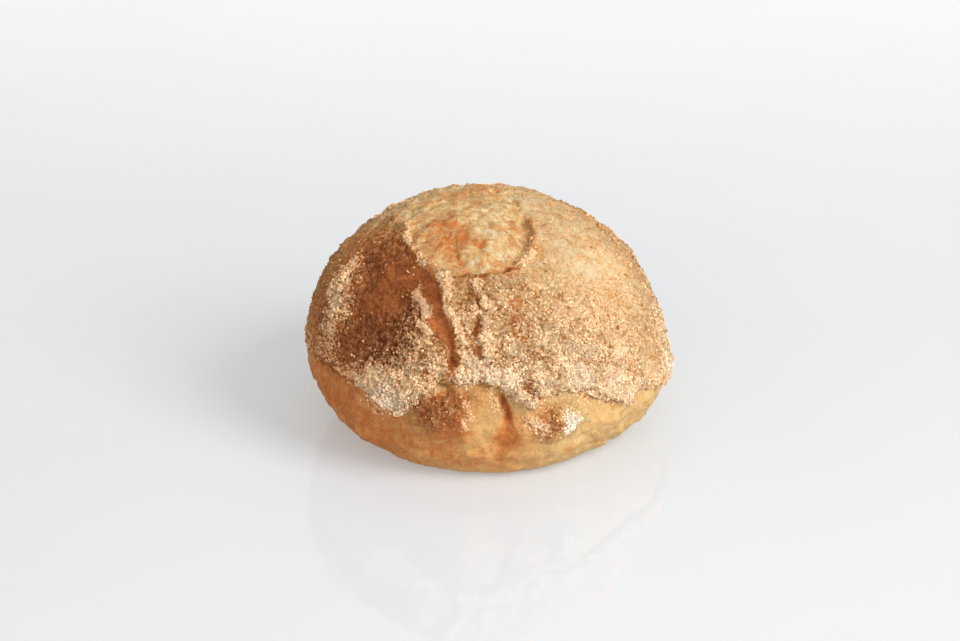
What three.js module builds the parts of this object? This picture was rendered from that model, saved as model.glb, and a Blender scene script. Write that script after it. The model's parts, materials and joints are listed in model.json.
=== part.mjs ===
// A round wholemeal bread roll, in one piece. Millimetres, +Z up, its front towards -Y.
//
// The roll rose in the oven until its floured crust tore in two places: all round above the base, where a paler
// flank bulged out under the crust's ragged edge, and round a patch on the top. What lies between the two tears
// is the cap. A place on the surface is given as an azimuth, in degrees from +X towards +Y, and a height or a
// latitude. Latitude is -90 where the flank meets the base, 0 at the widest level and 90 at the top.

import * as THREE from 'three';
import { ImprovedNoise } from 'three/addons/math/ImprovedNoise.js';

// The smooth dome
const RADIUS = 47;
const HEIGHT = 61.5;
const WIDEST_LEVEL = 18.9;
const WIDEST_LEVEL_TILT = 1.5; // the widest level is this much lower on the right and higher on the left
const BASE_RADIUS = 33.6;
const BASE_OVAL = 0.074; // share by which the base is longer from front to back than across
const DOME_EXPONENT = 2.08; // 2 is an ellipse, more is squarer
const FLANK_EXPONENT = 1.7;
const LEAN = 1.3; // how far the top lies to the left of the base's middle

// The mesh
const MERIDIANS = 124;
const BASE_ROWS = 3;
const FLANK_ROWS = 9;
const CAP_ROWS = 20;
const PATCH_ROWS = 7;
const ROWS = BASE_ROWS + FLANK_ROWS + CAP_ROWS + PATCH_ROWS + 7; // and three rows at each tear, and the top

// The tears
const TUCK = 0.8; // how deep the flank runs in under the crust's edge
const OVERHANG = 0.7; // how far the crust's edge hangs down over that
const LIP_FADE = 7; // the crust's edge stands proud over about this distance
const PATCH_TUCK = 0.5;
const PATCH_LIP_FADE = 3.5;

// Height of the crust's lower edge, as [azimuth, height]
const TEAR = [
	[0, 15.5], [18, 19], [40, 23.5], [62, 19.5], [78, 21], [97, 16.5], [118, 24], [141, 25.5], [157, 20.5],
	[175, 24], [192, 25], [209, 25.4], [226, 23.9], [238, 21], [245, 19], [249, 25.3], [254, 28.8], [262, 30.4],
	[271, 30.3], [277, 28], [284, 23.4], [287, 26.4], [296, 26.3], [304, 24.3], [314, 19.7], [319, 17.8],
	[327, 18.4], [340, 16.5], [352, 15], [360, 15.5],
];
const RAGGEDNESS = 0.7; // the edge wanders up and down by about this much

// How far the crust stands out there, as [azimuth, rise]
const TEAR_LIP = [
	[0, 2.7], [10, 1.3], [60, 1], [100, 1.4], [150, 1], [185, 0.5], [215, 0.6], [232, 1.1], [245, 1.6], [252, 0.8],
	[270, 0.9], [284, 1.3], [300, 1], [318, 1.4], [335, 1], [348, 1.8], [355, 3], [360, 2.7],
];

// Distance of the top patch's edge from the roll's axis, as [azimuth, distance]
const PATCH = [
	[0, 9], [45, 10], [90, 12], [135, 17], [178, 22.5], [200, 22.6], [215, 24], [227, 26.4], [237, 28.6], [248, 32],
	[253, 30.8], [262, 30], [275, 29.4], [287, 28], [297, 25.8], [304, 23.6], [310, 20], [317, 16], [331, 11.5],
	[360, 9],
];

// How far the crust stands out round it, as [azimuth, rise]
const PATCH_LIP = [
	[0, 0.05], [60, 0.2], [120, 0.1], [180, 0.15], [200, 0.4], [220, 0.7], [240, 0.8], [252, 0.6], [265, 0.3],
	[278, 0.3], [288, 1], [300, 1.3], [310, 1.2], [319, 0.7], [328, 0.2], [340, 0.05], [360, 0.05],
];

// Broad swells of the loaf and smaller humps and hollows, as [azimuth, height, reach, rise]
const SWELLS = [
	[200, 30, 18, 1.4], // the left side, low down
	[145, 46, 18, -1],
	[170, 45, 8, 0.7], // the left shoulder
	[340, 30, 17, 0.6],
	[250, 57, 16, 0.5],
	[310, 44, 17, -0.4],
	[232, 46, 9, -1.5], // the brown plate, which faces left
	[222, 37, 8, -0.7],
	[247, 38, 6, 0.8], // a floured shoulder to the right of it
	[203, 42, 4.2, 1.1], // a pad of caked flour
	[208, 36, 3.5, 0.7],
	[285, 36, 9, 0.4],
	[252, 21, 6, 2.2], // a brown lump on the flank
	[261, 25, 5, 1.2],
	[268, 18.5, 5, -1.4], // the smooth hollow beside it
	[270, 8, 6, 0.6],
	[284, 17, 4.5, 2], // a dusted lump
	[294, 18.5, 4.5, 1.9],
	[302, 12, 5, -0.8],
	[312, 16, 6, 0.6],
	[298, 6.5, 3.5, 0.7],
	[343, 11, 6, 1.8], // a second layer that shows at the right
	[328, 8, 4, 1.1],
	[318, 4.5, 3.5, 0.6],
	[243, 11, 7, 0.7],
	[233, 8, 6, -0.8],
	[222, 8, 5, 1.2],
	[212, 13, 7, 0.6],
	[200, 9, 5, -0.7],
	[30, 11, 8, 1.2],
	[50, 8, 6, -0.7],
	[70, 15, 7, -0.9],
	[95, 9, 8, 1.3],
	[112, 16, 6, -0.8],
	[130, 14, 8, 1.1],
	[165, 10, 8, 0.8],
	[60, 40, 10, 0.8],
	[100, 45, 9, -0.8],
	[25, 38, 8, -0.5],
	[296, 58.2, 4.5, -1.2], // the hollow of the patch, inside its right edge
	[284, 55.5, 3.5, -0.7],
	[276, 57.5, 4.5, 0.7], // a pale tongue to the left of the hollow
	[60, 60.9, 10, 0.5],
	[225, 58.5, 6, 0.5],
	[258, 56.5, 4, -0.6],
];

// Folds and grooves, as a path of [azimuth, height] points with its half width and rise
const FOLDS = [
	{ halfWidth: 2.1, rise: 0.4, path: [[200, 59], [215, 57.4], [227, 56], [238, 54], [248, 51.2]] },
	{ halfWidth: 2.2, rise: -0.9, path: [[218, 54.5], [231, 53], [240, 50], [246, 47.5], [250, 44], [254, 39]] },
	{ halfWidth: 2.1, rise: 1, path: [[249, 51], [254, 46], [257.5, 42], [258.5, 36]] },
	{ halfWidth: 2.1, rise: 0.8, path: [[239, 47.5], [245, 45], [249, 40.5], [250, 35]] },
	{ halfWidth: 2.1, rise: -0.9, path: [[264, 50.5], [266.7, 47], [267, 42], [266.5, 36]] },
	{ halfWidth: 2.1, rise: 0.6, path: [[269.5, 49.5], [270.5, 44], [270, 37]] },
	{ halfWidth: 2.2, rise: -2, path: [[275, 27], [276, 23], [277, 19.5]] }, // a dark crevice below the tear
	{ halfWidth: 2.1, rise: -0.9, path: [[276, 19], [273, 14], [270.5, 10]] },
	{ halfWidth: 2.1, rise: -1, path: [[279, 29], [284, 27.5], [288, 27]] },
	{ halfWidth: 2.1, rise: 0.8, path: [[262, 15], [265, 19.5], [268, 23]] },
	{ halfWidth: 2.1, rise: -0.8, path: [[326, 17], [334, 14], [345, 13.5]] },
	{ halfWidth: 2.1, rise: -0.8, path: [[110, 20], [112, 13], [108, 7]] },
	{ halfWidth: 2.1, rise: -0.8, path: [[48, 20], [51, 12], [49, 6]] },
	{ halfWidth: 2.1, rise: -1, path: [[70, 55], [64, 48], [67, 38], [61, 28]] },
	{ halfWidth: 2.1, rise: 0.8, path: [[150, 55], [146, 46], [151, 36], [149, 28]] },
	{ halfWidth: 2.1, rise: 0.7, path: [[20, 50], [14, 42], [17, 33]] },
];

// The roughness of the baked surface, as [wavelength, rise] for each part of it
const CAP_ROUGHNESS = [[10, 0.6], [5, 0.65]];
const FLANK_ROUGHNESS = [[12, 0.7], [5.5, 0.4]];
const PATCH_ROUGHNESS = [[7, 0.6], [4.2, 0.55]];
const ROUGHNESS_FADE = 5; // the surface grows smooth below this height, where it sat on the baking tray

const CRUST_COLOUR = 0xd9a066;
const DEGREES_PER_MM = THREE.MathUtils.radToDeg(1 / RADIUS);

const { degToRad, radToDeg, lerp, euclideanModulo, smoothstep } = THREE.MathUtils;
const perlin = new ImprovedNoise();

// Reads a list of [azimuth, value] pairs that runs from 0 to 360, going straight from each to the next.
function around(list, azimuth) {
	const wrapped = euclideanModulo(azimuth, 360);
	const after = list.findIndex(([at]) => at > wrapped);
	const [fromAt, from] = list[after - 1];
	const [toAt, to] = list[after];
	return lerp(from, to, (wrapped - fromAt) / (toAt - fromAt));
}

// The height of the crust's edge, with its raggedness.
function tearHeight(azimuth) {
	const x = Math.cos(degToRad(azimuth));
	const y = Math.sin(degToRad(azimuth));
	const wander = perlin.noise(7 * x, 7 * y, 0) + perlin.noise(15 * x, 15 * y, 5);
	return around(TEAR, azimuth) + RAGGEDNESS * wander;
}

function widestLevel(azimuth) {
	return WIDEST_LEVEL - WIDEST_LEVEL_TILT * Math.cos(degToRad(azimuth));
}

function baseRadius(azimuth) {
	return BASE_RADIUS * (1 - BASE_OVAL * Math.cos(2 * degToRad(azimuth)));
}

// The latitude at a height, and the one at a distance from the axis on the upper half.
function latitudeAtHeight(azimuth, height) {
	const level = widestLevel(azimuth);
	if (height < level) return -radToDeg(Math.asin((1 - height / level) ** (FLANK_EXPONENT / 2)));
	return radToDeg(Math.asin(((height - level) / (HEIGHT - level)) ** (DOME_EXPONENT / 2)));
}

function latitudeAtDistance(distance) {
	return radToDeg(Math.acos((distance / RADIUS) ** (DOME_EXPONENT / 2)));
}

// A point on the smooth dome.
function dome(azimuth, latitude) {
	const level = widestLevel(azimuth);
	const exponent = 2 / (latitude < 0 ? FLANK_EXPONENT : DOME_EXPONENT);
	const across = Math.abs(Math.cos(degToRad(latitude))) ** exponent;
	const along = Math.abs(Math.sin(degToRad(latitude))) ** exponent;
	const inner = latitude < 0 ? baseRadius(azimuth) : 0;
	const distance = lerp(inner, RADIUS, across);
	const height = latitude < 0 ? level * (1 - along) : lerp(level, HEIGHT, along);
	const lean = -LEAN * Math.max(0, (height - level) / (HEIGHT - level));
	return new THREE.Vector3(
		distance * Math.cos(degToRad(azimuth)) + lean,
		distance * Math.sin(degToRad(azimuth)),
		height,
	);
}

function domeAtHeight([azimuth, height]) {
	return dome(azimuth, latitudeAtHeight(azimuth, height));
}

// The dome's outward normal, from two short steps on it that stay off the poles.
function domeNormal(azimuth, latitude) {
	if (latitude === 90) return new THREE.Vector3(0, 0, 1);
	const step = 0.5;
	const inside = THREE.MathUtils.clamp(latitude, -90 + 2 * step, 90 - 2 * step);
	const east = dome(azimuth + step, inside).sub(dome(azimuth - step, inside));
	const north = dome(azimuth, inside + step).sub(dome(azimuth, inside - step));
	return east.cross(north).normalize();
}

const swells = SWELLS.map(([azimuth, height, reach, rise]) => ({
	centre: domeAtHeight([azimuth, height]), reach, rise,
}));

const folds = FOLDS.map(({ halfWidth, rise, path }) => {
	const points = path.map(domeAtHeight);
	return { halfWidth, rise, lines: points.slice(1).map((point, i) => new THREE.Line3(points[i], point)) };
});

function swellRise(point) {
	return swells.reduce((sum, { centre, reach, rise }) => {
		return sum + rise * Math.exp(-point.distanceToSquared(centre) / reach ** 2);
	}, 0);
}

function foldRise(point) {
	const nearest = new THREE.Vector3();
	return folds.reduce((sum, { halfWidth, rise, lines }) => {
		const distances = lines.map((line) => line.closestPointToPoint(point, true, nearest).distanceTo(point));
		return sum + rise * Math.exp(-((Math.min(...distances) / halfWidth) ** 2));
	}, 0);
}

function roughness(point, layers) {
	return layers.reduce((sum, [wavelength, rise]) => {
		const p = point.clone().divideScalar(wavelength);
		return sum + rise * perlin.noise(p.x, p.y, p.z);
	}, 0);
}

// The rows of one meridian, from the middle of the base to the top. Each has a latitude, a rise over the dome
// and the roughness of that part of the surface. A row of the base has a share of the base's radius instead.
function meridian(azimuth) {
	const tear = latitudeAtHeight(azimuth, tearHeight(azimuth));
	const lip = around(TEAR_LIP, azimuth);
	const patch = latitudeAtDistance(around(PATCH, azimuth));
	const patchLip = around(PATCH_LIP, azimuth);
	const rows = [];

	for (let i = 0; i < BASE_ROWS; i += 1) rows.push({ share: i / BASE_ROWS });

	const tuckFade = 3;
	for (let i = 0; i < FLANK_ROWS; i += 1) {
		const latitude = lerp(-90, tear - 2 * DEGREES_PER_MM, i / (FLANK_ROWS - 1));
		const below = (tear - latitude) / DEGREES_PER_MM;
		rows.push({ latitude, rise: -TUCK / 2 * Math.exp(-below / tuckFade), layers: FLANK_ROUGHNESS });
	}

	// The flank runs in under the crust, the crust's edge hangs over it, and the cap starts above that.
	const edge = 0.5 * DEGREES_PER_MM;
	rows.push({ latitude: tear + edge / 2, rise: -TUCK, layers: FLANK_ROUGHNESS });
	rows.push({ latitude: tear - OVERHANG * DEGREES_PER_MM, rise: 0.45 * lip, layers: CAP_ROUGHNESS });
	rows.push({ latitude: tear + edge, rise: lip, layers: CAP_ROUGHNESS });

	for (let i = 1; i <= CAP_ROWS; i += 1) {
		const latitude = lerp(tear + edge, patch - edge, i / (CAP_ROWS + 1));
		const above = (latitude - tear) / DEGREES_PER_MM;
		const below = (patch - latitude) / DEGREES_PER_MM;
		const rise = lip * Math.exp(-above / LIP_FADE) + patchLip * Math.exp(-below / PATCH_LIP_FADE);
		rows.push({ latitude, rise, layers: CAP_ROUGHNESS });
	}

	rows.push({ latitude: patch - edge, rise: patchLip, layers: CAP_ROUGHNESS });
	rows.push({ latitude: patch + edge, rise: 0.5 * patchLip, layers: CAP_ROUGHNESS });
	rows.push({ latitude: patch + edge, rise: -PATCH_TUCK * patchLip, layers: PATCH_ROUGHNESS });

	for (let i = 1; i <= PATCH_ROWS; i += 1) {
		const latitude = lerp(patch + edge, 90, i / (PATCH_ROWS + 1));
		const inside = (latitude - patch) / DEGREES_PER_MM;
		rows.push({ latitude, rise: -PATCH_TUCK * patchLip * Math.exp(-inside / 3), layers: PATCH_ROUGHNESS });
	}
	rows.push({ latitude: 90, rise: 0, layers: PATCH_ROUGHNESS });
	return rows;
}

function surfacePoint(azimuth, { share, latitude, rise, layers }) {
	if (latitude === undefined) {
		return dome(azimuth, -90).multiplyScalar(share);
	}
	const point = dome(azimuth, latitude);
	const relief = rise + swellRise(point) + foldRise(point) + roughness(point, layers);
	const fade = smoothstep(point.z, 0, ROUGHNESS_FADE);
	point.addScaledVector(domeNormal(azimuth, latitude), relief * fade);
	point.z = Math.max(point.z, 0);
	return point;
}

// A lathe gives the grid of meridians and rows, and each of its vertices then moves to its place.
function rollGeometry() {
	const halfCircle = Array.from({ length: ROWS }, (_, row) => {
		const angle = Math.PI * row / (ROWS - 1);
		return new THREE.Vector2(Math.sin(angle), -Math.cos(angle));
	});
	const geometry = new THREE.LatheGeometry(halfCircle, MERIDIANS);
	const position = geometry.getAttribute('position');
	for (let i = 0; i <= MERIDIANS; i += 1) {
		const azimuth = 360 * (i % MERIDIANS) / MERIDIANS;
		meridian(azimuth).forEach((row, j) => {
			position.setXYZ(i * ROWS + j, ...surfacePoint(azimuth, row));
		});
	}
	geometry.computeVertexNormals();
	return geometry;
}

// Stands the roll on the floor with the middle of its box over the origin.
function stand(geometry) {
	geometry.computeBoundingBox();
	const middle = geometry.boundingBox.getCenter(new THREE.Vector3());
	return geometry.translate(-middle.x, -middle.y, -geometry.boundingBox.min.z);
}

const crust = new THREE.MeshStandardMaterial({ color: CRUST_COLOUR, roughness: 0.85, metalness: 0 });
const roll = new THREE.Mesh(stand(rollGeometry()), crust);
roll.name = 'bread_roll';

const part = new THREE.Group();
part.add(roll);

export default part;
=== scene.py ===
import json
import math
from types import SimpleNamespace

import bpy
import numpy as np
from mathutils import Euler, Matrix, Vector, noise

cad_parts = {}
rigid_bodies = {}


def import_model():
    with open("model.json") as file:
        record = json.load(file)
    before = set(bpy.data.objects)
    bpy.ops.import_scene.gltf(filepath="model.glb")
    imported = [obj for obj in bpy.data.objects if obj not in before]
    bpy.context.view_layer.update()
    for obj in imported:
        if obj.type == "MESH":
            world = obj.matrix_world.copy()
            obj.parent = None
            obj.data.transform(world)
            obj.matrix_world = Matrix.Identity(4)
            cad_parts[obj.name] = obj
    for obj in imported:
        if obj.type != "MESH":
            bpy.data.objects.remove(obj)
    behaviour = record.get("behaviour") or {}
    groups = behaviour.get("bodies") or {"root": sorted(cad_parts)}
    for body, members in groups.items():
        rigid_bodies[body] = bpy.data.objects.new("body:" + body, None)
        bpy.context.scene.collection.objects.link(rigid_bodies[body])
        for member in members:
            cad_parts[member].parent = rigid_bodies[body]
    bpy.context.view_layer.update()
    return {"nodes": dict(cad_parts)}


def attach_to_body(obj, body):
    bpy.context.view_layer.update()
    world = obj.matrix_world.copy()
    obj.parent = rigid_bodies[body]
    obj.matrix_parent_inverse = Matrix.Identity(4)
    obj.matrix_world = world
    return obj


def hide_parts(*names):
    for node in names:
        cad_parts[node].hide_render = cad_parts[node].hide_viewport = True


bl_info = {
    "name": "Floured bread roll",
    "version": (1, 0, 0),
    "blender": (4, 5, 0),
    "location": "View3D > Sidebar > Bread roll",
    "description": "Dresses a bread roll with crust relief, flour, toasted grains and bran",
    "category": "Object",
}

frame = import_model()

NODE = "bread_roll"
BODY = "root"
MM = 0.001
MOST_TRIANGLES = 200000  # in a piece of loose grains

# The solid's smooth dome, in mm. A place on the roll is an azimuth, in degrees from +X towards +Y, and a
# height. Azimuth 270 faces the camera. The back, from 0 to 180, is made up in the style of the front.
DOME_RADIUS = 47.0
DOME_HEIGHT = 61.5
WIDEST_LEVEL = 18.9
WIDEST_LEVEL_TILT = 1.5
BASE_RADIUS = 33.6
DOME_EXPONENT = 2.08
FLANK_EXPONENT = 1.7
DOME_AXIS = (-0.68, -0.52)
HEART_LEVEL = 19.0  # places are compared as seen from the roll's heart, on its axis at this height
SHELL_RADIUS = 46.0  # and distances between them are measured on a ball of this radius

# The last rows of the solid's bands, counted from the middle of its base
BASE_ROW = 3
FLANK_ROW = 12
CRUST_EDGE_ROW = 14
CAP_ROW = 34
PATCH_EDGE_ROW = 36

# Height of the crust's lower edge, as [azimuth, height]
TEAR = [
    [0, 15.5], [18, 19], [40, 23.5], [62, 19.5], [78, 21], [97, 16.5], [118, 24], [141, 25.5], [157, 20.5],
    [175, 24], [192, 25], [209, 25.4], [226, 23.9], [238, 21], [245, 19], [249, 25.3], [254, 28.8],
    [262, 30.4], [271, 30.3], [277, 28], [284, 23.4], [287, 26.4], [296, 26.3], [304, 24.3],
    [314, 19.7], [319, 17.8], [327, 18.4], [340, 16.5], [352, 15], [360, 15.5],
]

# Folds, ridges and grooves that more than one table follows, as paths of [azimuth, height]
LEFT_RIDGE = [[199, 57.6], [215.7, 55.9], [223.4, 55.3], [236.5, 53.8], [241.9, 52.8], [249.8, 51.9]]
PLATE_RIDGE = [[238.5, 47.7], [243.5, 46], [246, 44.2], [249.5, 40.5]]
CENTRE_RIDGE = [[262.5, 52], [267, 49.5], [270, 46], [268.6, 43], [269, 37]]
WIDE_GROOVE = [[245, 49], [249, 47.5], [253.7, 42], [256, 40]]
GROOVE_FOOT = [[257, 38.8], [258.8, 36], [258, 33.5], [258.6, 31.5]]
SLIT = [[265.1, 49.3], [267.9, 46.1], [266.5, 43.3], [266.9, 36.2]]

# How thickly the flour lies above the crust's edge, and how far up it reaches, as [azimuth, amount, reach]
EDGE_FLOUR = [
    [0, 0.6, 3], [40, 0.8, 6], [70, 0.5, 4], [100, 0.8, 7], [140, 0.8, 6], [175, 0.25, 4], [205, 0.2, 4],
    [221, 0.4, 4], [228, 0.8, 5], [235, 1, 5.5], [245, 1.1, 6], [262, 1, 4], [280, 1, 5], [300, 1, 5],
    [325, 0.9, 4], [345, 0.8, 4], [360, 0.6, 3],
]

# Where more flour lies, or less, as [azimuth, height, reach, amount]
FLOUR_SPOTS = [
    [204, 42, 4.2, 1.3], [200, 46, 3, 1.1], [207, 36, 3.5, 0.75], [208, 31, 3, 0.4],
    [242, 40, 4, 0.3], [246, 35, 4.5, 0.4], [241, 30, 4.5, 0.35], [249, 29, 3.5, 0.55],
    [236, 24.5, 4.5, 1.5], [233, 33, 4, 0.05],
    [258.5, 51, 1.6, -0.8], [262, 44, 5, 0.4], [262, 36, 6, 0.4], [275, 45, 7, 0.35], [280, 36, 8, 0.45],
    [295, 45, 9, 0.4], [300, 34, 9, 0.6], [318, 40, 10, 0.35], [320, 28, 8, 0.5],
    [225, 58, 4, 0.15], [340, 45, 9, 0.2], [284.5, 26.5, 1.8, -0.9],
    [297, 19, 1.7, 1.3], [296.8, 15.8, 1.8, 1.3], [290.5, 17.5, 3, 0.2], [284, 18.5, 1.4, 0.8],
    [286.8, 16.6, 1.3, 0.9], [257, 21, 5, 0.15],
    [352, 17, 4, 0.6], [350, 28, 8, 0.45],
    [60, 35, 12, 0.4], [100, 40, 10, 0.4], [135, 48, 10, 0.4], [155, 38, 9, 0.5], [20, 45, 10, 0.3],
    [90, 56, 10, 0.25], [30, 13, 4, 0.4], [98, 12, 4, 0.5], [132, 16, 4, 0.4],
]

# Where the flour is whitest, as [azimuth, height, reach, amount]
WHITE_SPOTS = [
    [297, 17.5, 3, 1.2], [285.5, 17.5, 2, 0.7], [352, 17, 6, 0.6], [300, 27.5, 7, 0.35], [268, 31.5, 6, 0.35],
    [280, 31, 6, 0.3], [238, 22.5, 4, 0.7], [318, 24, 9, 0.4], [358, 24, 9, 0.5], [90, 30, 12, 0.4],
    [30, 13, 4, 0.6], [98, 12, 4, 0.6],
]

# Where the crust is coated with coarse grains, as [azimuth, height, reach, amount]
COARSE_SPOTS = [
    [262, 42, 16, 0.8], [288, 36, 15, 0.6], [240, 32, 11, 0.9], [312, 32, 12, 0.3], [205, 40, 9, 0.8],
    [228, 47, 9, -0.25], [205, 55, 10, 0.4], [345, 35, 12, 0.2], [340, 48, 12, -0.25],
    [252, 21, 5.5, 1.6], [259, 25, 4, 1.3], [292, 18, 5, 1.8], [281, 26, 3, 1],
    [70, 38, 20, 0.7], [130, 40, 18, 0.7], [160, 36, 14, 0.7], [20, 42, 16, 0.5], [98, 12, 6, 0.5],
]

# Grooves that are smooth, as [half width, amount, path of azimuth and height]; their amounts are negative
COARSE_LINES = [
    [1.9, -1.5, WIDE_GROOVE],
    [1.1, -1, GROOVE_FOOT],
    [1.6, -1, [[236, 51], [243, 49.5], [248, 47.5]]],
    [0.6, -1, SLIT],
]

# Where the flour lies along a fold, or has come off it, as [half width, amount, path of azimuth and height]
FLOUR_LINES = [
    [0.9, 1.1, LEFT_RIDGE],
    [1.4, 1.1, [[249.8, 51.9], [253, 49.5], [253.5, 46.5], [257, 44], [260, 41]]],
    [1.2, 0.6, [[260, 41], [262, 36], [262, 32]]],
    [1.2, 0.75, PLATE_RIDGE],
    [1.4, 0.8, CENTRE_RIDGE],
    [1.7, -1.3, WIDE_GROOVE],
    [0.9, -0.9, GROOVE_FOOT],
    [0.5, -1, SLIT],
    [1.6, 0.9, [[288, 54.5], [297, 56], [303, 57.5]]],
    [1.2, 0.7, [[275.4, 30.3], [279, 27.6], [282.6, 24.8], [286.8, 23.5]]],
    [0.8, 0.3, [[270.8, 27], [272.5, 24.5], [273.3, 21]]],
    [0.8, 0.3, [[262.5, 25.5], [264.5, 21.5], [263, 18]]],
    [1.6, 0.8, [[150, 55], [146, 46], [151, 36], [149, 28]]],
]

# Where the crust is browner, or paler, as [azimuth, height, reach, amount]: mostly where the oven browned it
# more or less, but the spot at [273.5, 28.5] is painted shadow under the lip
BAKE_AND_SHADE_SPOTS = [
    [233, 48, 9, 1.3], [224, 42, 9, 0.6], [238, 41, 5, 0.5], [213, 52, 9, 0.6], [195, 50, 10, 0.5],
    [190, 36, 14, 0.3], [203, 43, 4, -0.5], [212, 31, 7, 0.65], [225, 34, 6, 0.55], [240, 35, 7, 0.7],
    [257, 22, 5.2, 1.1], [259.5, 26.5, 3.2, 0.5], [258, 17, 4, 0.45], [267.5, 28, 3, 0.15],
    # the spot at [273.5, 28.5] on the next line is painted shadow under the lip
    [273.5, 28.5, 3, 0.1], [284.5, 27, 2, 0.4], [286.5, 25, 1.5, 0.4], [290.5, 17.2, 3.2, 1],
    [286, 20, 3.5, 0.35], [275, 15.8, 4, 0.22], [276.3, 12.5, 4, 0.25], [279, 15.8, 4, 0.22],
    [267.5, 23.5, 3, 0.05], [269, 18.5, 3, -0.1], [268, 13.5, 4, -0.1], [298.4, 8.4, 1.8, 0.5],
    [200, 14, 20, 0.6], [230, 10, 18, 0.55], [255, 8, 14, 0.38], [280, 6, 10, 0.2], [269.5, 26, 3.5, 0.1],
    [266, 43, 3, 0.2], [322, 42, 15, -0.3], [345, 30, 14, -0.3], [330, 24, 8, -0.15], [312, 7, 2, 0.35],
    [350, 11, 5, -0.15], [320, 5, 8, -0.15], [240, 5, 9, -0.1],
    [110, 10, 30, 0.3], [90, 45, 14, 0.45], [40, 50, 10, 0.3], [120, 30, 9, 0.5], [15, 30, 9, 0.25],
    [70, 12, 9, 0.45], [120, 10, 8, 0.4], [165, 12, 12, 0.4],
]

# Browner lines, as [half width, amount, path of azimuth and height]: browner crust along the patch's edge,
# grooves and a crack darkened partly as painted shade, and painted shadow under the lip at the front and on
# the right
BAKE_AND_SHADE_LINES = [
    # the grooves' lines are darker partly as painted shade
    [1.7, 1.1, WIDE_GROOVE],
    [1.1, 1, GROOVE_FOOT],
    [0.7, 0.6, SLIT],
    [1, 0.9, [[238.9, 58], [249.6, 56.1], [257, 53.9]]],
    [0.9, 0.9, [[257, 53.8], [265.3, 53.2], [272.3, 52.8], [281, 53.4], [287, 54]]],
    [0.9, 0.4, [[318, 59.3], [307.5, 57], [300.2, 55.6], [292, 55]]],
    [0.7, 0.6, [[303, 60.3], [289, 57.5]]],
    # painted shadow under the lip on the right
    [1, 0.5, [[302, 24.6], [308.4, 21.7], [316.1, 18]]],
    # the crack, darker partly as painted shade
    [1.3, 0.8, [[275.3, 25], [276.2, 21.7], [276.8, 19]]],
    # painted shadow under the lip at the front
    [1, 0.25, [[271.5, 30], [277.3, 28.2], [280.5, 25.5]]],
    [0.8, 0.45, [[287, 24], [292.4, 21.3]]],
    [0.9, 0.2, [[275, 13], [274.3, 8.5], [274.1, 3]]],
]

# Where the bare patch on top is browner, or paler, as [azimuth, height, reach, amount]
PATCH_BROWN_SPOTS = [
    [225, 59, 5, 0.8], [264.5, 57.6, 2.2, 1.2], [252, 57.5, 3, 1], [248, 59.4, 1.6, 0.5],
    [240, 58.5, 4, 0.9], [150, 61, 7, 0.5], [95, 61, 6, 0.6], [283, 54.6, 2, 0.6], [60, 59.5, 5, 0.5],
    [250, 55, 3, 0.5], [235, 57, 4, 0.45], [268, 60.5, 2.2, -0.9], [277, 59.6, 1.6, -0.8],
    [282, 58.3, 1.6, -0.9], [284.5, 56.2, 1.4, -0.9], [256, 57, 2, -0.3],
]

# Crisp folds, and creases where the rise is negative, as [half width, rise, path of azimuth and height]
FINE_FOLDS = [
    [0.7, 1, LEFT_RIDGE],
    [0.8, -0.8, [[214, 54.8], [227, 53.6], [238, 51.9], [246, 49.8]]],
    [0.9, 1.4, [[249.8, 51.9], [253, 49.5], [253.5, 46.5], [257, 44], [260, 41], [262, 36]]],
    [0.8, -1.2, [[247.5, 50], [250.3, 47], [253.6, 42.8], [257, 39.5], [258.8, 34]]],
    [0.8, 0.9, PLATE_RIDGE],
    [0.5, -1.2, SLIT],
    [0.9, 0.8, CENTRE_RIDGE],
    [0.8, -0.6, [[286, 55.3], [296, 57], [303, 58], [309, 59.2], [315, 60]]],
    [0.9, 0.7, [[287, 54], [297, 55.8], [304, 57], [311, 58.3]]],
    [0.7, -0.8, [[252, 52.6], [260, 53], [268, 53.3], [279, 53.8]]],
    [0.9, 0.5, [[267, 60.8], [280.7, 58.7], [285.1, 55.8]]],
    [0.7, -0.6, [[239, 58], [249.6, 56.1], [257, 53.9]]],
    [0.7, -0.8, [[254, 31], [257.5, 29], [259, 25]]],
    [0.7, -0.7, [[288, 48], [290.5, 45], [290, 41], [286, 39.5]]],
    [0.7, -0.7, [[276, 36], [281, 35], [284, 32], [290, 31]]],
    [0.7, -0.6, [[303, 45], [305, 40], [302, 35]]],
    [0.7, -2.6, [[275.2, 25], [276.2, 21.7], [276.8, 19]]],
    [1.1, 1.3, [[275.4, 30.5], [279, 27.8], [282.6, 24.9], [286.8, 23.6]]],
    [0.8, 0.7, [[287.2, 23.3], [292.4, 21.3]]],
    [1, -1.3, [[283.5, 28], [285.3, 26], [286.8, 24.8]]],
    [0.6, 0.6, [[270.8, 27], [272.5, 24.5], [273.3, 21]]],
    [0.6, -0.9, [[300, 25.6], [308.4, 21.9], [316.1, 18.3]]],
    [0.7, -0.7, [[279, 13], [275.9, 10.3], [273.7, 7]]],
    [0.7, 0.6, [[262, 14], [265, 18.5], [268, 22.5]]],
    [0.7, -0.6, [[215, 17], [226, 13], [236, 12.5], [248, 9]]],
    [0.7, -0.5, [[255, 14], [262, 11.5], [268, 10]]],
    [0.7, -0.6, [[288, 12], [297, 10.5], [306, 12], [318, 10]]],
    [0.8, 0.7, [[300, 17], [310, 14.5], [322, 13]]],
    [0.8, 0.7, [[318, 12], [321, 7.5]]],
    [0.7, -0.6, [[199, 17], [206, 12], [212, 9]]],
    [0.8, -0.5, [[110, 20], [112, 13], [108, 7]]],
    [0.8, -0.5, [[48, 20], [51, 12], [49, 6]]],
    [0.9, -0.5, [[70, 55], [64, 48], [67, 38], [61, 28]]],
]

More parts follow.
